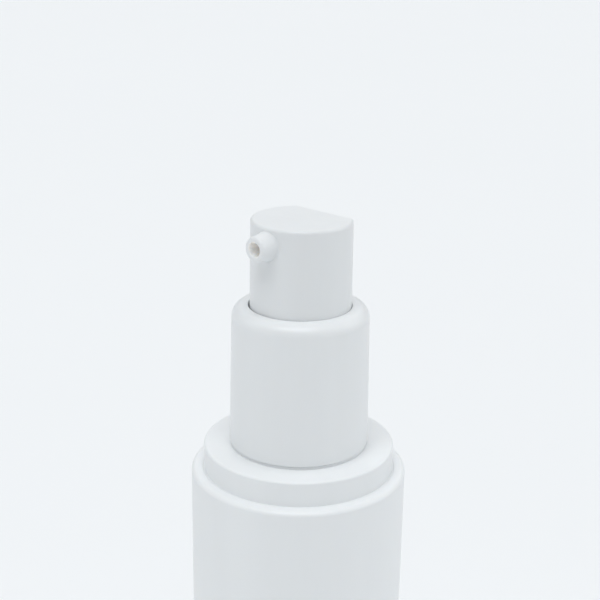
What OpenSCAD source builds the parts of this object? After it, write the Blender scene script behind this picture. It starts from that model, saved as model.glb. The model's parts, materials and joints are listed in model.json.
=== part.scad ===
// Airless pump bottle for about 30 ml of liquid foundation.
// Z is up, the bottle rests on z = 0, the nozzle points along -Y and everything turned shares the Z axis.

/* [Body] */
// Outer diameter of the body
body_d = 35; // [35:0.5:38]
// Height of the body up to the ledge round the shoulder ring
body_h = 72; // [68:1:90]
// Wall thickness of the body
body_wall = 1.8; // [1.6:0.05:1.9]
// Radius of the body's two outer edges
body_edge = 0.7; // [0.3:0.1:0.9]

/* [Shoulder ring] */
// Height of the ring above the body's ledge, which is the seat of an overcap
ring_h = 4.1; // [3:0.1:5]
// Radius of the ring's top edge
ring_edge = 0.35; // [0.2:0.05:0.6]

/* [Collar sleeve] */
// Diameter of the sleeve at its foot
collar_foot_d = 22.5; // [22.4:0.1:23.2]
// Diameter of the sleeve at its top
collar_top_d = 21.8; // [21.6:0.1:22.4]
// Height of the sleeve
collar_h = 23; // [22.7:0.1:24.9]
// Radius of the sleeve's top edge
collar_edge = 1.9; // [1:0.1:2]
// Diameter of the hole that the head slides through
mouth_d = 16.45; // [16.4:0.05:16.8]

/* [Head] */
// Diameter of the head at the foot of its skirt
head_foot_d = 16.15; // [15.9:0.05:16.2]
// Diameter of the head at its top
head_top_d = 15.98; // [15.8:0.02:16.04]
// Height of the head above the sleeve when it is up
head_rise = 14; // [13.5:0.1:15]
// Distance of the D-cut flat from the axis
flat_y = 5.4; // [5.3:0.1:5.8]
// Wall thickness of the head's side
head_wall = 1.1; // [1:0.05:1.2]

/* [Nozzle] */
// Depth of the nozzle's axis below the head's top
nozzle_drop = 2.93; // [2.9:0.01:3.4]
// Distance of the nozzle's end face from the bottle's axis
nozzle_reach = 10.6; // [10:0.1:12]
// Outer diameter at the nozzle's end
nozzle_tip_d = 3.8; // [3.6:0.1:4]
// Outer diameter where the nozzle enters the head
nozzle_root_d = 4.5; // [4.3:0.1:4.7]
// Diameter of the outlet bore
outlet_d = 2.15; // [1.8:0.05:2.3]

/* [Pump] */
// Travel of the head
stroke = 6; // [4:0.5:6]
// Bore of the pump's cylinder
cylinder_d = 8; // [8:0.1:8.2]
// Outer diameter of the hollow stem
stem_d = 4; // [3.9:0.05:4.05]
// Bore of the hollow stem
stem_bore_d = 2.2; // [1.8:0.1:2.4]
// Distance that the stem moves before it takes the piston along
piston_lag = 0.8; // [0.5:0.1:0.8]
// Diameter of the inlet valve's ball
ball_d = 3; // [2.8:0.1:3]

/* [Spring] */
// Wire diameter of the return spring
wire_d = 0.7; // [0.5:0.05:0.8]
// Number of free coils between the closed end coils
free_coils = 6; // [4:1:7]

/* [Hidden] */

// Clearances: slip is between pieces that slide or snap together, press between pieces pushed tight
slip = 0.05;
press = 0.02;
swivel_gap = 0.03;
lead_in = 0.4;
cut = 1;
turned_fn = 120;
small_fn = 48;

// Snap beads and their grooves
bead_rise = 0.25;
bead_h = 1.4;
groove_h = 1.6;

// Body, base and shoulder ring
body_r = body_d / 2;
bore_r = body_r - body_wall;
insert_r = bore_r - slip;
seat_step = 0.2;
seat_r = insert_r - seat_step;
ring_top = body_h + ring_h;
ring_disc = 1.4;
land_r = 11;
land_h = 0.45;
land_gap = 0.1;
ring_skirt_wall = 1.1;
ring_skirt_r = insert_r - ring_skirt_wall;
ring_foot = body_h - 7.5;
ring_bead_z = body_h - 4;
base_recess = 0.8;
base_floor = 1.6;
base_top = 8;
base_bead_z = 4;
vent_r = 0.75;

// Inner cartridge
cartridge_r = ring_skirt_r - 0.15;
cartridge_wall = 1;
chamber_r = cartridge_r - cartridge_wall;
chamber_top = body_h - 2;
shoulder_t = 1.4;
rest_flange_t = 1.5;
neck_r = 8.6;
neck_bore_r = 7.2;

// Collar sleeve and neck
collar_foot = ring_top + land_h + land_gap;
collar_top = collar_foot + collar_h;
collar_foot_r = collar_foot_d / 2;
collar_top_r = collar_top_d / 2;
collar_foot_edge = 0.3;
mouth_r = mouth_d / 2;
mouth_edge = 0.15;
neck_top = ring_top + 9.9;
neck_bead_z = neck_top - 3.4;
neck_bead_rise = 0.5;
neck_bead_h = 1.6;
gasket_t = 0.8;
flange_t = 1.2;
flange_r = neck_r + 0.45;
flange_foot = neck_top + gasket_t;
flange_top = flange_foot + flange_t;
closure_r = 9.95;
closure_foot = ring_top + 0.75;
closure_top = flange_top + 1.2;
closure_bead_z = closure_foot + 2.6;

// Pump cylinder, cap, stem and piston, all hung from the flange
cylinder_r = cylinder_d / 2;
housing_r = cylinder_r + 1;
rim_r = 6.2;
rim_top = flange_top + 2.4;
cap_foot = flange_foot - 0.5;
cap_r = 5.15;
cap_top = rim_top + 0.8;
cap_bead_z = cap_foot + 2.2;
cap_bead_rise = 0.15;
spring_foot = cap_foot + 1.3;
stem_r = stem_d / 2;
stem_bore_r = stem_bore_d / 2;
guide_r = stem_r + slip;
stem_collar_r = 2.6;
stem_collar_top = cap_foot - 0.1;
stem_collar_foot = stem_collar_top - 0.9;
piston_top = stem_collar_foot - piston_lag - slip;
piston_h = 5;
piston_foot = piston_top - piston_h;
plug_top = piston_foot - press;
plug_t = 1.1;
plug_r = 2.9;
plug_foot = plug_top - plug_t;
port_z = piston_foot + 2.2;
port_r = 0.5;
web_top = plug_foot - stroke - 0.4;
web_t = 1;
web_foot = web_top - web_t;
web_slot_w = 0.8;

// Inlet valve
ball_r = ball_d / 2;
ball_lift = 0.95;
ball_cage_r = 1.9;
web_slot_r = ball_cage_r - 0.1;
valve_boss_r = 3.2;
valve_bore_r = 2.35;
ball_gap = 0.03;
ball_z = web_foot - ball_r - ball_lift - ball_gap;
seat_bore_r = 0.9;
seat_cone_foot = ball_z - ball_r * sqrt(2) + seat_bore_r - press;
seat_cone_h = 0.7;
seat_top = seat_cone_foot + seat_cone_h;
seat_foot = seat_top - 2;
seat_flange_t = 0.6;

// Follower piston
follower_foot = base_top + 0.8;
follower_h = 7.5;
follower_top = follower_foot + follower_h;
follower_r = chamber_r - slip;
follower_wall = 1.2;
well_r = 5.2;
well_depth = 5;

// Head
head_top = collar_top + head_rise;
head_foot = collar_top - 2.15;
head_foot_r = head_foot_d / 2;
head_top_r = head_top_d / 2;
head_edge = 0.45;
head_roof = 0.9;
cavity_r = head_top_r - head_wall;
cavity_top = head_top - head_roof;
cavity_flat_y = flat_y - head_wall;
flat_foot = collar_top + 1.2;
socket_top = head_top - 7.7;
stem_top = socket_top - 0.1;
hub_r = 3;
hub_foot = cap_top + stroke + 0.4;
hub_bead_z = hub_foot + 2.9;
hub_bead_rise = 0.2;
hub_bead_h = 1.2;
hub_groove_h = 1.4;
plate_foot = head_top - 10.7;
plate_t = 1.2;
core_r = cavity_r - slip;
core_flat_y = cavity_flat_y - slip;
core_top = cavity_top - slip;
rib_t = 0.9;

// Nozzle
nozzle_z = head_top - nozzle_drop;
nozzle_tip_r = nozzle_tip_d / 2;
nozzle_root_r = nozzle_root_d / 2;
outlet_r = outlet_d / 2;
nozzle_lip = 0.35;
nozzle_hole_gap = 0.07;
nozzle_hole_r = nozzle_root_r + nozzle_hole_gap;
boss_r = 2.6;
boss_reach = cavity_r - 0.2;
spigot_r = 1.5;
spigot_reach = 3.2;

// Spring
spring_r = 3.9;
spring_top = plate_foot;
end_coils = 1;
closed_pitch = wire_d * 1.03;
coil_steps = 20;
wire_sides = 8;

// Points on an arc round c, from angle a0 to angle a1
function arc(c, r, a0, a1, steps = 6) =
    [for (i = [0:steps]) c + r * [cos(a0 + (a1 - a0) * i / steps), sin(a0 + (a1 - a0) * i / steps)]];

// Four points of a bead (rise > 0) on a wall at radius r, centred at height z, listed upwards
function bead(r, z, rise, h) =
    [[r, z - h / 2], [r + rise, z - h / 2 + rise], [r + rise, z + h / 2 - rise], [r, z + h / 2]];

function reversed(points) = [for (i = [len(points) - 1:-1:0]) points[i]];

// Turns a profile of [radius, height] points round the Z axis
module turned(points) {
    rotate_extrude($fn = turned_fn)
        polygon(points);
}

// A round bar along -Y at the nozzle's height, from depth a to depth b
module across(r, a, b) {
    translate([0, -a, nozzle_z])
        rotate([90, 0, 0])
            cylinder(r = r, h = b - a, $fn = small_fn);
}

// Everything beyond a flat at y, from height z upwards
module beyond_flat(y, z) {
    translate([-body_r, y, z])
        cube([body_d, body_r, head_top]);
}

// Straight outer tube, open at both ends, with a snap groove near each end
module outer_bottle() {
    color("#f4f6f8")
        turned(concat(
            arc([body_r - body_edge, body_edge], body_edge, -90, 0),
            arc([body_r - body_edge, body_h - body_edge], body_edge, 0, 90),
            [[bore_r, body_h]],
            reversed(bead(bore_r, ring_bead_z, bead_rise, groove_h)),
            reversed(bead(bore_r, base_bead_z, bead_rise, groove_h)),
            [[bore_r, 0]]
        ));
}

// Cup that closes the tube from below, carries the cartridge and lets air in under the follower
module base_plug() {
    skirt_bore = cartridge_r - 0.8;
    color("#eef0f2")
        turned(concat(
            [
                [vent_r, base_recess],
                [insert_r - lead_in, base_recess],
                [insert_r, base_recess + lead_in],
            ],
            bead(insert_r, base_bead_z, bead_rise, bead_h),
            [
                [insert_r, base_top],
                [skirt_bore, base_top],
                [skirt_bore, base_recess + base_floor],
                [vent_r, base_recess + base_floor],
            ]
        ));
}

// Bottomless product cylinder with a flange that the shoulder ring holds down, and the pump's neck
module inner_cartridge() {
    shoulder_top = chamber_top + shoulder_t;
    outer_edge = 1;
    inner_edge = 0.5;
    color("#e4e8ea")
        turned(concat(
            [
                [chamber_r, base_top],
                [cartridge_r, base_top],
                [cartridge_r, ring_foot - rest_flange_t],
                [insert_r, ring_foot - rest_flange_t],
                [insert_r, ring_foot],
                [cartridge_r, ring_foot],
            ],
            arc([cartridge_r - outer_edge, shoulder_top - outer_edge], outer_edge, 0, 90),
            [[neck_r, shoulder_top]],
            bead(neck_r, neck_bead_z, neck_bead_rise, neck_bead_h),
            [
                [neck_r, neck_top],
                [neck_bore_r, neck_top],
                [neck_bore_r, chamber_top],
            ],
            arc([chamber_r - inner_edge, chamber_top - inner_edge], inner_edge, 90, 0)
        ));
}

// Wiper piston with a lip at each end and a well that clears the pump's foot
module follower_piston() {
    lip = 0.4;
    lip_h = 1;
    waist_r = follower_r - lip;
    skirt_r = waist_r - follower_wall + lip;
    deck = follower_top - 0.2;
    well_floor = follower_top - well_depth;
    color("#f7f7f2")
        turned([
            [0, well_floor - follower_wall],
            [well_r + follower_wall, well_floor - follower_wall],
            [well_r + follower_wall, deck - follower_wall],
            [skirt_r, deck - follower_wall],
            [skirt_r, follower_foot],
            [follower_r, follower_foot],
            [follower_r, follower_foot + lip_h],
            [waist_r, follower_foot + lip_h + lip],
            [waist_r, follower_top - lip_h - lip],
            [follower_r, follower_top - lip_h],
            [follower_r, follower_top],
            [follower_r - lip, follower_top],
            [follower_r - 2 * lip, deck],
            [well_r, deck],
            [well_r, well_floor],
            [0, well_floor],
        ]);
}

// Ring that snaps into the tube, holds the cartridge down and carries the overcap.
// The low land on its top centres the collar sleeve.
module shoulder_ring() {
    hole_r = neck_r + 0.15;
    color("#f6f8fa")
        turned(concat(
            [[ring_skirt_r, ring_foot], [insert_r, ring_foot]],
            bead(insert_r, ring_bead_z, bead_rise, bead_h),
            [[insert_r, body_h], [seat_r, body_h]],
            arc([seat_r - ring_edge, ring_top - ring_edge], ring_edge, 0, 90),
            [
                [land_r, ring_top],
                [land_r, ring_top + land_h],
                [hole_r, ring_top + land_h],
                [hole_r, ring_top - ring_disc],
                [ring_skirt_r, ring_top - ring_disc],
            ]
        ));
}

// Flat seal between the pump's flange and the neck
module neck_gasket() {
    hole_r = rim_r + 0.1;
    color("#d9dcdc")
        turned([
            [hole_r, neck_top],
            [neck_r, neck_top],
            [neck_r, flange_foot],
            [hole_r, flange_foot],
        ]);
}

// Snap closure: its hook grips under the neck's bead and its disc holds the pump's flange down
module neck_closure() {
    hook_r = neck_r + 0.1;
    inside_r = flange_r + slip;
    hook_top = neck_bead_z - neck_bead_h / 2 - 0.1;
    color("#eceeee")
        turned(concat(
            [[hook_r, closure_foot], [closure_r, closure_foot]],
            bead(closure_r, closure_bead_z, bead_rise, bead_h),
            [
                [closure_r, closure_top],
                [rim_r + slip, closure_top],
                [rim_r + slip, flange_top],
                [inside_r, flange_top],
                [inside_r, hook_top],
                [hook_r, hook_top - lead_in],
            ]
        ));
}

// Tall outer sleeve with a slight draft, a full round top edge and the mouth that guides the head
module collar_sleeve() {
    grip_r = closure_r + slip;
    upper_r = collar_top_r - 1.3;
    mouth_foot = collar_top - 2.2;
    step_z = closure_top + slip;
    color("#f2f4f6")
        turned(concat(
            arc([collar_foot_r - collar_foot_edge, collar_foot + collar_foot_edge], collar_foot_edge, -90, 0),
            arc([collar_top_r - collar_edge, collar_top - collar_edge], collar_edge, 0, 90, 12),
            arc([mouth_r + mouth_edge, collar_top - mouth_edge], mouth_edge, 90, 180),
            [
                [mouth_r, mouth_foot],
                [upper_r, mouth_foot],
                [upper_r, step_z],
                [grip_r, step_z],
            ],
            reversed(bead(grip_r, closure_bead_z, bead_rise, groove_h)),
            [[grip_r, collar_foot]]
        ));
}

// Pump cylinder with its flange, the rim that takes the cap, and the ball's cage under a slotted web
module pump_housing() {
    socket_r = cap_r + slip;
    foot_chamfer = 0.6;
    cone_foot = cap_foot - 2.2;
    cone_top = cap_foot - 1.2;
    color("#f0f0ee")
        difference() {
            turned(concat(
                [
                    [ball_cage_r, seat_top],
                    [valve_bore_r, seat_top],
                    [valve_bore_r, seat_foot],
                    [valve_boss_r, seat_foot],
                    [valve_boss_r, web_foot],
                    [housing_r, web_foot + foot_chamfer],
                    [housing_r, cone_foot],
                    [rim_r, cone_top],
                    [rim_r, flange_foot],
                    [flange_r, flange_foot],
                    [flange_r, flange_top],
                    [rim_r, flange_top],
                    [rim_r, rim_top],
                    [socket_r, rim_top],
                ],
                reversed(bead(socket_r, cap_bead_z, cap_bead_rise, groove_h)),
                [
                    [socket_r, cap_foot],
                    [cylinder_r, cap_foot],
                    [cylinder_r, web_top],
                    [0, web_top],
                    [0, web_foot],
                    [ball_cage_r, web_foot],
                ]
            ));
            for (turn = [0, 90])
                rotate([0, 0, turn])
                    translate([-web_slot_r, -web_slot_w / 2, web_foot - cut])
                        cube([2 * web_slot_r, web_slot_w, web_t + 2 * cut]);
        }
}

// Seat of the inlet valve, pressed into the cylinder's foot, with a 45 degree cone for the ball
module valve_seat() {
    shank_r = valve_bore_r - press;
    color("#e8e8e4")
        turned([
            [seat_bore_r, seat_foot - seat_flange_t],
            [valve_boss_r, seat_foot - seat_flange_t],
            [valve_boss_r, seat_foot],
            [shank_r, seat_foot],
            [shank_r, seat_top],
            [seat_bore_r + seat_cone_h, seat_top],
            [seat_bore_r, seat_cone_foot],
        ]);
}

module inlet_ball() {
    color("#b8bcc0")
        translate([0, 0, ball_z])
            sphere(r = ball_r, $fn = small_fn);
}

// Sliding piston: two lips on the cylinder, an inner seal on the stem and a foot that shuts the ports
module pump_piston() {
    lip_r = cylinder_r - slip;
    waist_r = lip_r - 0.2;
    skirt_r = lip_r - 0.5;
    seal_r = stem_r + 0.04;
    foot_in_r = stem_r + 0.5;
    foot_out_r = stem_r + 0.9;
    lip_h = 0.6;
    lip_slope = 0.3;
    low_lip_foot = piston_foot + 0.4;
    low_lip_top = low_lip_foot + lip_h;
    high_lip_foot = piston_top - lip_h;
    web_low = piston_foot + 1.8;
    web_high = piston_foot + 3;
    seal_foot = web_high + 0.6;
    seal_slope = 0.4;
    color("#fbfbf6")
        turned([
            [foot_in_r, piston_foot],
            [foot_out_r, piston_foot],
            [foot_out_r, web_low],
            [skirt_r, web_low],
            [skirt_r, low_lip_foot],
            [lip_r, low_lip_foot],
            [lip_r, low_lip_top],
            [waist_r, low_lip_top + lip_slope],
            [waist_r, high_lip_foot - lip_slope],
            [lip_r, high_lip_foot],
            [lip_r, piston_top],
            [skirt_r, piston_top],
            [skirt_r, web_high],
            [foot_out_r, web_high],
            [foot_out_r, piston_top],
            [seal_r, piston_top],
            [seal_r, seal_foot],
            [foot_in_r, seal_foot - seal_slope],
        ]);
}

// Plug that closes the stem's foot; its flange is the seat that the piston's foot shuts on
module stem_plug() {
    shank_r = stem_bore_r - press;
    shank_top = port_z - port_r - 0.2;
    color("#f0f0ec")
        turned([
            [0, plug_foot],
            [plug_r - lead_in, plug_foot],
            [plug_r, plug_foot + lead_in],
            [plug_r, plug_top],
            [shank_r, plug_top],
            [shank_r, shank_top],
            [0, shank_top],
        ]);
}

// Hollow stem with two crossed ports at its foot, a retaining collar and a snap bead for the head
module pump_stem() {
    color("#f4f4f0")
        difference() {
            turned(concat(
                [
                    [stem_bore_r, plug_top],
                    [stem_r, plug_top],
                    [stem_r, stem_collar_foot],
                    [stem_collar_r, stem_collar_foot],
                    [stem_collar_r, stem_collar_top],
                    [stem_r, stem_collar_top],
                ],
                bead(stem_r, hub_bead_z, hub_bead_rise, hub_bead_h),
                [[stem_r, stem_top], [stem_bore_r, stem_top]]
            ));
            for (turn = [0, 90])
                rotate([0, 0, turn])
                    translate([0, stem_d, port_z])
                        rotate([90, 0, 0])
                            cylinder(r = port_r, h = 2 * stem_d, $fn = small_fn);
        }
}

// Cap of the cylinder: guides the stem, keeps the piston in and holds the spring's foot in its groove
module pump_cap() {
    groove_in_r = hub_r;
    groove_out_r = cap_r - 0.35;
    color("#ececea")
        turned(concat(
            [[guide_r, cap_foot], [cap_r, cap_foot]],
            bead(cap_r, cap_bead_z, cap_bead_rise, bead_h),
            [
                [cap_r, rim_top],
                [rim_r, rim_top],
                [rim_r, cap_top],
                [groove_out_r, cap_top],
                [groove_out_r, spring_foot],
                [groove_in_r, spring_foot],
                [groove_in_r, cap_top],
                [guide_r, cap_top],
            ]
        ));
}

// Height of the wire's centre after t coils: closed end coils, free coils in between
function wire_z(t) =
    let (
        low = spring_foot + wire_d / 2 + press,
        high = spring_top - wire_d / 2 - press,
        pitch = (high - low - 2 * end_coils * closed_pitch) / free_coils,
        closed = min(t, end_coils) + max(t - end_coils - free_coils, 0),
        free = min(max(t - end_coils, 0), free_coils)
    )
    low + closed_pitch * closed + pitch * free;

// Compression spring round the stem, swept as rings of points along a helix
module return_spring() {
    coils = free_coils + 2 * end_coils;
    rings = coils * coil_steps;
    points = [
        for (i = [0:rings], j = [0:wire_sides - 1])
            let (
                turn = 360 * i / coil_steps,
                side = 360 * j / wire_sides,
                r = spring_r + wire_d / 2 * cos(side)
            )
            [r * cos(turn), r * sin(turn), wire_z(i / coil_steps) + wire_d / 2 * sin(side)]
    ];
    walls = [
        for (i = [0:rings - 1], j = [0:wire_sides - 1])
            let (next = (j + 1) % wire_sides, a = i * wire_sides, b = a + wire_sides)
            [a + j, a + next, b + next, b + j]
    ];
    first_end = [for (j = [wire_sides - 1:-1:0]) j];
    last_end = [for (j = [0:wire_sides - 1]) rings * wire_sides + j];
    color("#c4c8cc")
        polyhedron(points = points, faces = concat(walls, [first_end, last_end]));
}

// D-shaped slab that fills the head's cavity between two heights
module core_slab(z0, z1) {
    difference() {
        translate([0, 0, z0])
            cylinder(r = core_r, h = z1 - z0, $fn = turned_fn);
        beyond_flat(core_flat_y, z0 - cut);
    }
}

// Inside of the head: stem socket, plate that the spring pushes, and the channel to the nozzle
module actuator_core() {
    rib_reach = core_r - 0.3;
    socket_r = stem_r + swivel_gap;
    channel_top = nozzle_z + stem_bore_r / 2;
    color("#ececea")
        difference() {
            union() {
                core_slab(plate_foot, plate_foot + plate_t);
                translate([0, 0, hub_foot])
                    cylinder(r = hub_r, h = core_top - hub_foot, $fn = turned_fn);
                intersection() {
                    across(boss_r, 0, boss_reach);
                    core_slab(plate_foot, core_top);
                }
                for (turn = [30, 150])
                    rotate([0, 0, turn])
                        translate([0, -rib_t / 2, plate_foot])
                            cube([rib_reach, rib_t, core_top - plate_foot]);
            }
            turned(concat(
                [[0, hub_foot - cut], [socket_r, hub_foot - cut]],
                bead(socket_r, hub_bead_z, hub_bead_rise, hub_groove_h),
                [
                    [socket_r, socket_top],
                    [stem_bore_r, socket_top],
                    [stem_bore_r, channel_top],
                    [0, channel_top],
                ]
            ));
            across(outlet_r, 0, boss_reach + cut);
            across(spigot_r + press, spigot_reach - slip, boss_reach + cut);
        }
}

// Outer head: round skirt, D-cut above the sleeve and a side hole that the nozzle is pressed through
module actuator_shell() {
    ledge_foot = flat_foot - head_wall;
    color("#eff2f4")
        difference() {
            turned(concat(
                [[0, head_foot], [head_foot_r, head_foot]],
                arc([head_top_r - head_edge, head_top - head_edge], head_edge, 0, 90),
                [[0, head_top]]
            ));
            beyond_flat(flat_y, flat_foot);
            translate([0, 0, head_foot - cut])
                cylinder(r = cavity_r, h = ledge_foot - head_foot + cut, $fn = turned_fn);
            difference() {
                translate([0, 0, head_foot])
                    cylinder(r = cavity_r, h = cavity_top - head_foot, $fn = turned_fn);
                beyond_flat(cavity_flat_y, head_foot - cut);
            }
            across(nozzle_hole_r, boss_reach, head_foot_r + cut);
        }
}

// Tapered nozzle tube with a rounded lip and a spigot that plugs into the core
module nozzle_tip() {
    straight_end = head_top_r - 0.3;
    shoulder = boss_reach + press;
    color("#f6f8fa")
        translate([0, 0, nozzle_z])
            rotate([90, 0, 0])
                turned(concat(
                    [
                        [outlet_r, spigot_reach],
                        [spigot_r, spigot_reach],
                        [spigot_r, shoulder],
                        [nozzle_root_r, shoulder],
                        [nozzle_root_r, straight_end],
                    ],
                    arc([nozzle_tip_r - nozzle_lip, nozzle_reach - nozzle_lip], nozzle_lip, 0, 90),
                    [[outlet_r, nozzle_reach]]
                ));
}

outer_bottle();
base_plug();
inner_cartridge();
follower_piston();
shoulder_ring();
neck_gasket();
neck_closure();
collar_sleeve();
pump_housing();
valve_seat();
inlet_ball();
pump_piston();
stem_plug();
pump_stem();
pump_cap();
return_spring();
actuator_core();
actuator_shell();
nozzle_tip();
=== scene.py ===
"""Looks of a white airless pump bottle for liquid foundation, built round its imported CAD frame."""
import json
import math

import bmesh
import bpy
from mathutils import Matrix, Vector


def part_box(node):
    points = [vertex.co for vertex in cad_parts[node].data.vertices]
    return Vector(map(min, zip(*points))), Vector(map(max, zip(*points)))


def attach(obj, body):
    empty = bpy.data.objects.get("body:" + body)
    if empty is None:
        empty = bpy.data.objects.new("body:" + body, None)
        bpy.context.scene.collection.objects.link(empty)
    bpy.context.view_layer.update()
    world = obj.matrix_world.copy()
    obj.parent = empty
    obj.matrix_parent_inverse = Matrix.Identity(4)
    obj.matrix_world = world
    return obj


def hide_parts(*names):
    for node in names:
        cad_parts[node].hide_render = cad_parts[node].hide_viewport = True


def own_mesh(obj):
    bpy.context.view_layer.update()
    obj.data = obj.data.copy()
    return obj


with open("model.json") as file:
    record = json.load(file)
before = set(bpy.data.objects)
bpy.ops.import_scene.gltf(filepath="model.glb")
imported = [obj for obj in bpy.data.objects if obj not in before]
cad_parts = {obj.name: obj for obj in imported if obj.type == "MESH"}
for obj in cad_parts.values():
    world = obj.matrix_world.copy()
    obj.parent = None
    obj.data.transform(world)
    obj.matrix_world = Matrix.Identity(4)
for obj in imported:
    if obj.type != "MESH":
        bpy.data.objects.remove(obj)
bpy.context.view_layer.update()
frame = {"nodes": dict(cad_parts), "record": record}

MM = 0.001
ROUND_STEPS = 192
FILLET_STEPS = 6
SHARP_ANGLE = math.radians(32)


# ---------------------------------------------------------------- profiles and meshes


def filleted(corners, steps=FILLET_STEPS):
    """A closed profile of (radius, height, fillet) corners in mm, as (radius, height) points in metres."""
    points = []
    for i, (r, z, fillet) in enumerate(corners):
        here = Vector((r, z))
        if not fillet:
            points.append(here * MM)
            continue
        before = Vector(corners[i - 1][:2]) - here
        after = Vector(corners[(i + 1) % len(corners)][:2]) - here
        half = before.angle(after) / 2
        before.normalize()
        after.normalize()
        centre = here + (before + after).normalized() * (fillet / math.sin(half))
        first = here + before * (fillet / math.tan(half)) - centre
        last = here + after * (fillet / math.tan(half)) - centre
        sweep = first.angle_signed(last)
        for k in range(steps + 1):
            turned = Matrix.Rotation(-sweep * k / steps, 2) @ first
            points.append((centre + turned) * MM)
    return points


def mesh_object(name, bm):
    """A linked object made from bm, shaded smooth apart from its sharp edges."""
    bmesh.ops.recalc_face_normals(bm, faces=bm.faces)
    for face in bm.faces:
        face.smooth = True
    for edge in bm.edges:
        edge.smooth = edge.calc_face_angle(math.pi) < SHARP_ANGLE
    mesh = bpy.data.meshes.new(name)
    bm.to_mesh(mesh)
    bm.free()
    obj = bpy.data.objects.new(name, mesh)
    bpy.context.scene.collection.objects.link(obj)
    return obj


def lathe(name, points, steps=ROUND_STEPS):
    """Turns a closed profile of (radius, height) points round Z into a closed mesh."""
    bm = bmesh.new()
    rings = []
    for r, z in points:
        if r < 1e-7:
            rings.append([bm.verts.new((0, 0, z))] * steps)
            continue
        turns = [2 * math.pi * k / steps for k in range(steps)]
        rings.append([bm.verts.new((r * math.cos(t), r * math.sin(t), z)) for t in turns])
    for ring, above in zip(rings, rings[1:] + rings[:1]):
        for k in range(steps):
            corners = [ring[k], ring[k - 1], above[k - 1], above[k]]
            distinct = list(dict.fromkeys(corners))
            if len(distinct) > 2:
                bm.faces.new(distinct)
    return mesh_object(name, bm)


def weigh_normals(obj):
    """Keeps wide flats flat where they meet small fillets."""
    modifier = obj.modifiers.new("weighted normals", "WEIGHTED_NORMAL")
    modifier.keep_sharp = True


def subtract(obj, cutter):
    """Cuts cutter out of obj and removes the cutter."""
    modifier = obj.modifiers.new("cut", "BOOLEAN")
    modifier.operation = "DIFFERENCE"
    modifier.solver = "EXACT"
    modifier.object = cutter
    bpy.context.view_layer.objects.active = obj
    bpy.ops.object.modifier_apply(modifier=modifier.name)
    bpy.data.objects.remove(cutter)


# ---------------------------------------------------------------- materials


def node_chain(material):
    """The material's node tree, its shader and the object's own coordinates."""
    material.use_nodes = True
    nodes = material.node_tree.nodes
    shader = nodes["Principled BSDF"]
    coordinates = nodes.new("ShaderNodeTexCoord")
    return nodes, material.node_tree.links, shader, coordinates.outputs["Object"]


NOISE_LOW = 0.3
NOISE_HIGH = 0.7


def noise(nodes, links, where, scale, detail=2.0, roughness=0.5):
    """Value of a noise texture with scale cells to the metre."""
    texture = nodes.new("ShaderNodeTexNoise")
    texture.inputs["Scale"].default_value = scale
    texture.inputs["Detail"].default_value = detail
    texture.inputs["Roughness"].default_value = roughness
    links.new(where, texture.inputs["Vector"])
    return texture.outputs["Fac"]


def spread(nodes, links, value, low, high):
    """Maps the range that a noise value usually has onto low to high."""
    mapping = nodes.new("ShaderNodeMapRange")
    mapping.inputs["From Min"].default_value = NOISE_LOW
    mapping.inputs["From Max"].default_value = NOISE_HIGH
    mapping.inputs["To Min"].default_value = low
    mapping.inputs["To Max"].default_value = high
    links.new(value, mapping.inputs["Value"])
    return mapping.outputs["Result"]


def tinted(nodes, links, value, dark, light):
    """A colour that runs from dark to light with a noise value."""
    ramp = nodes.new("ShaderNodeValToRGB")
    ramp.color_ramp.elements[0].position = NOISE_LOW
    ramp.color_ramp.elements[0].color = (*dark, 1)
    ramp.color_ramp.elements[1].position = NOISE_HIGH
    ramp.color_ramp.elements[1].color = (*light, 1)
    links.new(value, ramp.inputs["Fac"])
    return ramp.outputs["Color"]


def moulded_plastic(
    name, colour, roughness, grain=0.1, subsurface=0.1, glow=0.5, grain_scale=5200, banding=1.0
):
    """Moulded polyolefin: a random tint, drawn out along Z by banding into vertical bands of painted sheen,
    uneven gloss and the fine grain of the tool.

    glow is how far light travels inside it, in mm.
    """
    material = bpy.data.materials.new(name)
    nodes, links, shader, where = node_chain(material)
    stretch = nodes.new("ShaderNodeMapping")
    stretch.inputs["Scale"].default_value = (1, 1, banding)
    links.new(where, stretch.inputs["Vector"])
    # Random tint, drawn out along Z into bands of painted sheen when banding is below 1
    clouds = noise(nodes, links, stretch.outputs["Vector"], 160, 3)
    darker = [c * 0.975 for c in colour]
    links.new(tinted(nodes, links, clouds, darker, colour), shader.inputs["Base Color"])
    patches = noise(nodes, links, where, 900, 4)
    gloss = spread(nodes, links, patches, roughness - 0.04, roughness + 0.05)
    links.new(gloss, shader.inputs["Roughness"])
    shader.inputs["IOR"].default_value = 1.49
    shader.inputs["Subsurface Weight"].default_value = subsurface
    shader.inputs["Subsurface Radius"].default_value = (1.0, 0.85, 0.7)
    shader.inputs["Subsurface Scale"].default_value = glow * MM
    bump = nodes.new("ShaderNodeBump")
    bump.inputs["Strength"].default_value = grain
    bump.inputs["Distance"].default_value = 0.02 * MM
    links.new(noise(nodes, links, where, grain_scale, 3, 0.6), bump.inputs["Height"])
    links.new(bump.outputs["Normal"], shader.inputs["Normal"])
    return material


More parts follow.
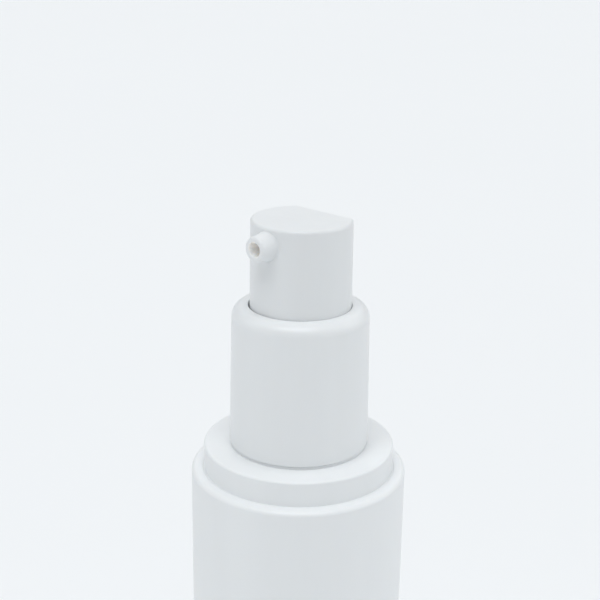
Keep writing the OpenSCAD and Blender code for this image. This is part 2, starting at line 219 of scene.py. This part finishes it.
def paint_bore_light(material, axis_z, inner, outer, painted_light):
    """Painted light: a lighter, warmer colour round the nozzle's axis that brightens its shaded bore, full
    within inner, gone at outer (metres).
    """
    nodes, links = material.node_tree.nodes, material.node_tree.links
    shader = nodes["Principled BSDF"]
    unpainted = shader.inputs["Base Color"].links[0].from_socket
    where = nodes["Texture Coordinate"].outputs["Object"]
    from_axis = nodes.new("ShaderNodeVectorMath")
    from_axis.operation = "SUBTRACT"
    from_axis.inputs[1].default_value = (0, 0, axis_z)
    links.new(where, from_axis.inputs[0])
    across = nodes.new("ShaderNodeVectorMath")
    across.operation = "MULTIPLY"
    across.inputs[1].default_value = (1, 0, 1)
    links.new(from_axis.outputs["Vector"], across.inputs[0])
    distance = nodes.new("ShaderNodeVectorMath")
    distance.operation = "LENGTH"
    links.new(across.outputs["Vector"], distance.inputs[0])
    fade = nodes.new("ShaderNodeMapRange")
    fade.inputs["From Min"].default_value = inner
    fade.inputs["From Max"].default_value = outer
    fade.inputs["To Min"].default_value = 1
    fade.inputs["To Max"].default_value = 0
    links.new(distance.outputs["Value"], fade.inputs["Value"])
    uneven = nodes.new("ShaderNodeMath")
    uneven.operation = "MULTIPLY"
    links.new(fade.outputs["Result"], uneven.inputs[0])
    links.new(spread(nodes, links, noise(nodes, links, where, 1400, 3), 0.7, 1.0), uneven.inputs[1])
    mix = nodes.new("ShaderNodeMix")
    mix.data_type = "RGBA"
    links.new(uneven.outputs["Value"], mix.inputs["Factor"])
    links.new(unpainted, mix.inputs["A"])
    mix.inputs["B"].default_value = (*painted_light, 1)
    links.new(mix.outputs["Result"], shader.inputs["Base Color"])
    depth = nodes.new("ShaderNodeMapRange")
    depth.inputs["To Min"].default_value = shader.inputs["Subsurface Weight"].default_value
    depth.inputs["To Max"].default_value = 1
    links.new(fade.outputs["Result"], depth.inputs["Value"])
    links.new(depth.outputs["Result"], shader.inputs["Subsurface Weight"])


def drawn_metal(name, colour, roughness, streaks):
    """Bright metal with fine streaks from drawing or polishing."""
    material = bpy.data.materials.new(name)
    nodes, links, shader, where = node_chain(material)
    stretch = nodes.new("ShaderNodeMapping")
    stretch.inputs["Scale"].default_value = (1, 1, streaks)
    links.new(where, stretch.inputs["Vector"])
    marks = noise(nodes, links, stretch.outputs["Vector"], 1800, 4)
    darker = [c * 0.86 for c in colour]
    links.new(tinted(nodes, links, marks, darker, colour), shader.inputs["Base Color"])
    links.new(spread(nodes, links, marks, roughness, roughness + 0.12), shader.inputs["Roughness"])
    shader.inputs["Metallic"].default_value = 1
    bump = nodes.new("ShaderNodeBump")
    bump.inputs["Strength"].default_value = 0.15
    bump.inputs["Distance"].default_value = 0.01 * MM
    links.new(marks, bump.inputs["Height"])
    links.new(bump.outputs["Normal"], shader.inputs["Normal"])
    return material


WHITE = (0.862, 0.881, 0.888)
NATURAL = (0.74, 0.75, 0.74)
# Painted light for the nozzle's shaded bore: lighter and warmer than the nozzle's white
BORE_PAINTED_LIGHT = (0.95, 0.93, 0.89)
# Draws the whites' random tint out along Z into vertical bands that stand in for the soft vertical sheen of
# the lights: painted sheen
SHEEN_BANDING = 0.08


def white_lit_or_shaded(share):
    """The house white, made lighter or darker for each piece: painted light and shade."""
    return tuple(c * share for c in WHITE)


# Painted light and shade: the lower body and ring lighter, the collar, nozzle and head darker, as the light
# falls on them
body_white = moulded_plastic("body_satin_white", white_lit_or_shaded(1.015), 0.34, banding=SHEEN_BANDING)
ring_white = moulded_plastic("ring_satin_white", white_lit_or_shaded(1.01), 0.34, banding=SHEEN_BANDING)
collar_white = moulded_plastic("collar_satin_white", white_lit_or_shaded(0.985), 0.32, banding=SHEEN_BANDING)
head_white = moulded_plastic("head_satin_white", white_lit_or_shaded(0.96), 0.33, banding=SHEEN_BANDING)
nozzle_white = moulded_plastic("nozzle_satin_white", white_lit_or_shaded(0.985), 0.36, subsurface=0.08, glow=4.5)
natural_inner = moulded_plastic("natural_moulding", NATURAL, 0.33, subsurface=0.3, glow=2)
soft_white = moulded_plastic("soft_piston_moulding", (0.82, 0.82, 0.78), 0.45, subsurface=0.3)
gasket_grey = moulded_plastic("gasket_foam", (0.62, 0.63, 0.63), 0.6, grain=0.4, grain_scale=2600)
spring_metal = drawn_metal("drawn_spring_wire", (0.62, 0.62, 0.64), 0.3, 0.2)
ball_metal = drawn_metal("polished_ball", (0.75, 0.76, 0.78), 0.08, 1.0)


# ---------------------------------------------------------------- measures taken from the frame


def node_box(node):
    """Lowest and highest corner of a CAD node, in mm."""
    low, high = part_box(node)
    return low / MM, high / MM


def place(obj, body, node):
    """Stands obj in for a CAD node: weighs its normals, hangs it on the body's empty and hides the node."""
    weigh_normals(obj)
    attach(obj, body)
    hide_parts(node)
    return obj


def paint(obj, material):
    """Gives obj this material alone."""
    obj.data.materials.clear()
    obj.data.materials.append(material)
    return obj


mounts = {mount["name"]: mount for mount in frame["record"]["mounts"]}
seat_r = mounts["overcap_seat"]["dims"]["r_mm"]
outlet_r = mounts["outlet"]["dims"]["r_mm"]
nozzle_z = mounts["outlet"]["pos_m"][2] / MM

_, body_high = node_box("outer_bottle")
body_r = body_high.x
ledge_z = body_high.z
ring_low, ring_high = node_box("shoulder_ring")
collar_low, collar_high = node_box("collar_sleeve")
shell_low, shell_high = node_box("actuator_shell")
tip_low, tip_high = node_box("nozzle_tip")
plug_low, plug_high = node_box("base_plug")
closure_low, closure_high = node_box("neck_closure")

# Clearances: SLIP is between pieces that slide or snap together, PRESS between pieces pushed tight
SLIP = 0.05
PRESS = 0.02
INSERT_R = node_box("inner_cartridge")[1].x
BORE_R = INSERT_R + SLIP

# Snap beads and their grooves; those of the body are BEAD_IN from its rims
BEAD_RISE = 0.25
BEAD_H = 1.4
GROOVE_H = 1.6
BEAD_IN = 4

# The head narrows by HEAD_DRAFT from foot to top, and its core's boss ends at BOSS_REACH
HEAD_DRAFT = 0.085
HEAD_WALL = 1.1
HEAD_CAVITY_R = shell_high.x - HEAD_DRAFT - HEAD_WALL
BOSS_REACH = HEAD_CAVITY_R - 0.2

# Lays an upright turned piece along -Y at the nozzle's height
LAID = Matrix.Translation((0, 0, nozzle_z * MM)) @ Matrix.Rotation(math.pi / 2, 4, "X")


def bead(r, z, rise, height):
    """Corners of a snap bead on a wall at radius r, listed upwards."""
    half = height / 2
    return [
        (r, z - half, 0),
        (r + rise, z - half + abs(rise), 0.1),
        (r + rise, z + half - abs(rise), 0.1),
        (r, z + half, 0),
    ]


# ---------------------------------------------------------------- pieces


def make_outer_bottle():
    """Straight tube with rounded rims and the two grooves for the snap beads."""
    edge = 0.7
    inner = 0.04
    corners = [
        (BORE_R, 0, inner),
        (body_r, 0, edge),
        (body_r, ledge_z, edge),
        (BORE_R, ledge_z, inner),
        *reversed(bead(BORE_R, ledge_z - BEAD_IN, BEAD_RISE, GROOVE_H)),
        *reversed(bead(BORE_R, BEAD_IN, BEAD_RISE, GROOVE_H)),
    ]
    return paint(lathe("bottle_body", filleted(corners)), body_white)


def make_shoulder_ring():
    """Ring that stands above the ledge on a snug foot; its lower half is inside the tube."""
    hole_r = 8.75
    skirt_r = INSERT_R - 1.1
    disc = 1.4
    land_r = 11
    land_h = 0.45
    top = ring_high.z - land_h
    snug_r = BORE_R - 0.012
    snug_h = 1.3
    chamfer = 0.2
    corners = [
        (skirt_r, ring_low.z, 0.1),
        (INSERT_R, ring_low.z, 0.25),
        *bead(INSERT_R, ledge_z - BEAD_IN, BEAD_RISE, BEAD_H),
        (INSERT_R, ledge_z - snug_h - chamfer, 0),
        (snug_r, ledge_z - snug_h, 0),
        (snug_r, ledge_z, 0.02),
        (seat_r, ledge_z, 0.08),
        (seat_r, top, 0.35),
        (land_r, top, 0.06),
        (land_r, ring_high.z, 0.04),
        (hole_r, ring_high.z, 0.15),
        (hole_r, top - disc, 0.1),
        (skirt_r, top - disc, 0.4),
    ]
    return paint(lathe("shoulder_ring_piece", filleted(corners)), ring_white)


def make_collar():
    """Tall drafted sleeve with a full round top edge.

    Its mouth, up to rim beyond the mouth's radius, is off the axis by the play round the head.
    """
    foot_r = collar_high.x
    top_r = foot_r - 0.35
    mouth_r = 8.225
    mouth_h = 2.2
    rim = 0.3
    grip_r = 10.0
    upper_r = top_r - 1.3
    top = collar_high.z
    foot = collar_low.z
    step = closure_high.z + SLIP
    grip_bead_z = closure_low.z + 2.6
    drift = Vector((-0.12, 0.02, 0))
    corners = [
        (grip_r, foot, 0.12),
        (foot_r, foot, 0.15),
        (top_r, top, 1.9),
        (mouth_r, top, 0.15),
        (mouth_r, top - mouth_h, 0.1),
        (upper_r, top - mouth_h, 0.3),
        (upper_r, step, 0),
        (grip_r, step, 0),
        *reversed(bead(grip_r, grip_bead_z, BEAD_RISE, GROOVE_H)),
    ]
    obj = lathe("collar_sleeve_piece", filleted(corners, 12))
    for vertex in obj.data.vertices:
        if vertex.co.xy.length < (mouth_r + rim) * MM:
            vertex.co += drift * MM
    return paint(obj, collar_white)


def make_base_plug():
    """Recessed cup with a vent hole through its middle."""
    vent_r = 0.75
    skirt_bore = 13.45
    floor = plug_low.z
    floor_t = 1.6
    corners = [
        (vent_r, floor, 0.12),
        (INSERT_R, floor, 0.4),
        *bead(INSERT_R, BEAD_IN, BEAD_RISE, BEAD_H),
        (INSERT_R, plug_high.z, 0.1),
        (skirt_bore, plug_high.z, 0.1),
        (skirt_bore, floor + floor_t, 0.5),
        (vent_r, floor + floor_t, 0.1),
    ]
    return paint(lathe("base_plug_piece", filleted(corners)), body_white)


def make_nozzle():
    """Tapered tube with a rounded lip, pressed through the head's side and flared where it leaves it.

    Its root is sunk into the side, and its flare follows the round of the head, less and less to the lip.
    """
    root_r = tip_high.x
    end_r = 1.9
    spigot_r = 1.5
    reach = -tip_low.y
    shoulder = BOSS_REACH + PRESS
    side_r = shell_high.x - 0.07
    flare = 0.25
    sunk = 0.3
    feather = 0.02
    corners = [
        (outlet_r, -tip_high.y, 0.05),
        (spigot_r, -tip_high.y, 0.15),
        (spigot_r, shoulder, 0.05),
        (root_r, shoulder, 0.1),
        (root_r, side_r - sunk, 0),
        (root_r + flare, side_r - feather, 0),
        (root_r, side_r, flare),
        (end_r, reach, 0.35),
        (outlet_r, reach, 0.18),
    ]
    obj = lathe("nozzle_piece", filleted(corners, 8), 96)
    below_root = (side_r - sunk - 0.05) * MM
    for vertex in obj.data.vertices:
        if vertex.co.z > below_root and vertex.co.xy.length > spigot_r * MM:
            drop = side_r * MM - math.sqrt((side_r * MM) ** 2 - vertex.co.x ** 2)
            share = (reach * MM - vertex.co.z) / (reach - side_r - flare) / MM
            vertex.co.z -= drop * min(share, 1)
    obj.data.transform(LAID)
    # Painted light in the shaded bore, full just past the outlet's radius and gone 0.3 mm beyond it
    painted_light_r = outlet_r + 0.02
    unpainted_r = outlet_r + 0.3
    paint_bore_light(nozzle_white, nozzle_z * MM, painted_light_r * MM, unpainted_r * MM, BORE_PAINTED_LIGHT)
    return paint(obj, nozzle_white)


def d_outline(radius, flat, corner):
    """Points in mm round a D: chord at y = flat, then its two small corners and the circle between them."""
    chord_steps, corner_steps, arc_steps = 40, 6, 150
    x = math.sqrt((radius - corner) ** 2 - (flat - corner) ** 2)
    y = flat - corner
    meet = math.atan2(y, x)
    points = [(x - 2 * x * k / chord_steps, flat) for k in range(chord_steps)]
    for k in range(corner_steps):
        turn = math.pi / 2 + (math.pi / 2 - meet) * k / corner_steps
        points.append((-x + corner * math.cos(turn), y + corner * math.sin(turn)))
    for k in range(arc_steps):
        turn = math.pi - meet + (math.pi + 2 * meet) * k / arc_steps
        points.append((radius * math.cos(turn), radius * math.sin(turn)))
    for k in range(corner_steps):
        turn = meet + (math.pi / 2 - meet) * k / corner_steps
        points.append((x + corner * math.cos(turn), y + corner * math.sin(turn)))
    return points


def pushed_out(points, radius, share, back=0.0):
    """The same points, those beyond the circle's cut moved out to the circle by share, less back."""
    moved = []
    for x, y in points:
        room = math.sqrt(max(radius * radius - x * x, 0)) - y
        if y > 0 and room > 1e-6:
            y += room * share - min(back, 0.4 * room)
        moved.append((x, y))
    return moved


def make_head():
    """D-cut shell: round skirt, flat opposite the nozzle, rounded top edge and a cavity for the core."""
    roof = 0.9
    flat_y = 5.4
    corner = 0.35
    edge = 0.5
    shelf_edge = 0.15
    shelf = collar_high.z + 1.2
    foot_r = shell_high.x
    top_r = foot_r - HEAD_DRAFT
    top = shell_high.z
    foot = shell_low.z
    cavity_r = HEAD_CAVITY_R
    cavity_flat = flat_y - HEAD_WALL
    bm = bmesh.new()

    def radius_at(z):
        return foot_r + (top_r - foot_r) * (z - foot) / (top - foot)

    def ring(points, z):
        return [bm.verts.new(Vector((x, y, z)) * MM) for x, y in points]

    def stitch(rings):
        for low, high in zip(rings, rings[1:]):
            for k in range(len(low)):
                bm.faces.new([low[k - 1], low[k], high[k], high[k - 1]])

    def quarter(steps):
        turns = [math.pi / 2 * k / steps for k in range(steps + 1)]
        return [(math.sin(t), 1 - math.cos(t)) for t in turns]

    outer = []
    for z in (foot, foot + 0.5, shelf - 0.5, shelf - shelf_edge):
        r = radius_at(z)
        outer.append(ring(pushed_out(d_outline(r, flat_y, corner), r, 1), z))
    for rise, inset in quarter(4)[1:]:
        z = shelf - shelf_edge + shelf_edge * rise
        r = radius_at(z)
        outer.append(ring(pushed_out(d_outline(r, flat_y, corner), r, 1, shelf_edge * inset), z))
    for rise, inset in quarter(4):
        z = shelf + shelf_edge * inset
        r = radius_at(z)
        outer.append(ring(pushed_out(d_outline(r, flat_y, corner), r, 0, -shelf_edge * (1 - rise)), z))
    levels = 24
    for k in range(1, levels + 1):
        z = shelf + shelf_edge + (top - edge - shelf - shelf_edge) * k / levels
        outer.append(ring(d_outline(radius_at(z), flat_y, corner), z))
    for rise, inset in quarter(8)[1:]:
        z = top - edge + edge * rise
        inward = edge * inset
        tight = max(corner - inward, 0.02)
        outer.append(ring(d_outline(radius_at(z) - inward, flat_y - inward, tight), z))
    inner = []
    for z in (foot, shelf - HEAD_WALL):
        inner.append(ring(pushed_out(d_outline(cavity_r, cavity_flat, 0.1), cavity_r, 1), z))
    for z in (shelf - HEAD_WALL, top - roof):
        inner.append(ring(d_outline(cavity_r, cavity_flat, 0.1), z))
    stitch(outer)
    stitch(inner[::-1])
    stitch([inner[0], outer[0]])
    bm.faces.new(outer[-1])
    bm.faces.new(inner[-1])
    bmesh.ops.remove_doubles(bm, verts=bm.verts, dist=1e-6)
    bmesh.ops.dissolve_degenerate(bm, edges=bm.edges, dist=1e-6)
    obj = mesh_object("head_shell_piece", bm)

    hole_r = tip_high.x - 0.005
    past = foot_r + 1
    hole = [(0, BOSS_REACH, 0), (hole_r, BOSS_REACH, 0), (hole_r, past, 0), (0, past, 0)]
    cutter = lathe("nozzle_hole", filleted(hole), 96)
    cutter.data.transform(LAID)
    subtract(obj, cutter)
    return paint(obj, head_white)


def make_spring():
    """Round-wire compression spring with closed, ground ends."""
    low, high = node_box("return_spring")
    wire_r = 0.35
    coil_r = high.x - wire_r
    free_coils = 6
    steps = 48
    sides = 16
    closed = 2 * wire_r * 1.03
    first = low.z + wire_r
    pitch = (high.z - low.z - 2 * wire_r - 2 * closed) / free_coils
    bm = bmesh.new()
    rings = []
    for k in range((free_coils + 2) * steps + 1):
        coils = k / steps
        dead = min(coils, 1) + max(coils - 1 - free_coils, 0)
        z = first + closed * dead + pitch * min(max(coils - 1, 0), free_coils)
        turn = 2 * math.pi * coils
        ring = []
        for j in range(sides):
            side = 2 * math.pi * j / sides
            r = coil_r + wire_r * math.cos(side)
            point = Vector((r * math.cos(turn), r * math.sin(turn), z + wire_r * math.sin(side)))
            ring.append(bm.verts.new(point * MM))
        rings.append(ring)
    for a, b in zip(rings, rings[1:]):
        for j in range(sides):
            bm.faces.new([a[j - 1], a[j], b[j], b[j - 1]])
    bm.faces.new(rings[0])
    bm.faces.new(rings[-1])
    return paint(mesh_object("spring_piece", bm), spring_metal)


place(make_outer_bottle(), "bottle", "outer_bottle")
place(make_shoulder_ring(), "bottle", "shoulder_ring")
place(make_collar(), "bottle", "collar_sleeve")
place(make_base_plug(), "bottle", "base_plug")
place(make_nozzle(), "head", "nozzle_tip")
place(make_head(), "head", "actuator_shell")

spring = place(make_spring(), "bottle", "return_spring")
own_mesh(spring)

KEPT = {
    "inner_cartridge": natural_inner,
    "neck_closure": natural_inner,
    "pump_housing": natural_inner,
    "valve_seat": natural_inner,
    "pump_cap": natural_inner,
    "stem_plug": natural_inner,
    "pump_stem": natural_inner,
    "actuator_core": natural_inner,
    "follower_piston": soft_white,
    "pump_piston": soft_white,
    "neck_gasket": gasket_grey,
    "inlet_ball": ball_metal,
}
for node, material in KEPT.items():
    for slot in frame["nodes"][node].material_slots:
        slot.material = material


# ---------------------------------------------------------------- floor, light and camera


FLOOR_SIDE = 8
FLOOR_DARK = (0.883, 0.895, 0.901)
FLOOR_LIGHT = (0.889, 0.901, 0.907)
LIGHT_TINT = (0.98, 1.0, 1.02)
SURROUNDINGS = 0.37
PALE = (0.87, 0.9, 0.925)

# Name, azimuth, elevation and width in degrees, strength
SOFTBOXES = [
    ("front", 42, 70, 40, 1.13),
    ("key", -6, 62, 20, 0.32),
    ("left side", -55, 30, 50, 0.29),
    ("right side", 139, 30, 50, 0.57),
    ("back", 222, 40, 60, 0.36),
]


def make_floor():
    """Wide pale floor."""
    bpy.ops.mesh.primitive_plane_add(size=FLOOR_SIDE)
    floor = bpy.context.object
    floor.name = "floor"
    material = bpy.data.materials.new("pale_floor")
    nodes, links, shader, where = node_chain(material)
    clouds = noise(nodes, links, where, 3, 2)
    links.new(tinted(nodes, links, clouds, FLOOR_DARK, FLOOR_LIGHT), shader.inputs["Base Color"])
    shader.inputs["Roughness"].default_value = 0.9
    shader.inputs["Specular IOR Level"].default_value = 0.1
    paint(floor, material)


def softbox(name, azimuth, elevation, spread, strength):
    """Distant soft light, spread degrees wide as the bottle sees it; azimuth 0 is the nozzle's side."""
    light = bpy.data.lights.new(name, "SUN")
    light.angle = math.radians(spread)
    light.energy = strength
    light.color = LIGHT_TINT
    obj = bpy.data.objects.new(name, light)
    turn, rise = math.radians(azimuth), math.radians(elevation)
    towards = Vector((math.sin(turn) * math.cos(rise), -math.cos(turn) * math.cos(rise), math.sin(rise)))
    obj.rotation_euler = towards.to_track_quat("Z", "Y").to_euler()
    bpy.context.scene.collection.objects.link(obj)


def make_light():
    """Even surroundings and the softboxes; past the floor's edge the view stays as pale as the floor."""
    world = bpy.data.worlds.new("studio")
    world.use_nodes = True
    nodes, links = world.node_tree.nodes, world.node_tree.links
    light = nodes["Background"]
    light.inputs["Color"].default_value = (*LIGHT_TINT, 1)
    light.inputs["Strength"].default_value = SURROUNDINGS
    view = nodes.new("ShaderNodeBackground")
    view.inputs["Color"].default_value = (*PALE, 1)
    either = nodes.new("ShaderNodeMixShader")
    links.new(nodes.new("ShaderNodeLightPath").outputs["Is Camera Ray"], either.inputs["Fac"])
    links.new(light.outputs["Background"], either.inputs[1])
    links.new(view.outputs["Background"], either.inputs[2])
    links.new(either.outputs["Shader"], nodes["World Output"].inputs["Surface"])
    bpy.context.scene.world = world
    for softbox_settings in SOFTBOXES:
        softbox(*softbox_settings)


def make_camera():
    """Camera at the height, heading and slight roll that the bottle is seen with; its places in metres."""
    heading = math.radians(41.8)
    pitch = math.radians(18.82)
    roll = math.radians(0.858)
    distance = 0.18612
    aside = -0.00012
    above_ledge = 0.09172
    camera = bpy.data.cameras.new("camera")
    camera.lens = 74.92
    camera.sensor_width = 36
    camera.clip_start = 0.01
    obj = bpy.data.objects.new("camera", camera)
    level = math.cos(pitch)
    aim = Vector((-math.sin(heading) * level, math.cos(heading) * level, -math.sin(pitch)))
    rolled = Matrix.Rotation(roll, 3, "Z").to_quaternion()
    obj.rotation_mode = "QUATERNION"
    obj.rotation_quaternion = aim.to_track_quat("-Z", "Y") @ rolled
    side = Vector((math.cos(heading), math.sin(heading), 0))
    back = Vector((math.sin(heading), -math.cos(heading), 0))
    height = Vector((0, 0, ledge_z * MM + above_ledge))
    obj.location = side * aside + back * distance + height
    bpy.context.scene.collection.objects.link(obj)
    bpy.context.scene.camera = obj


make_floor()
make_light()
make_camera()
bpy.context.scene.view_settings.view_transform = "Standard"
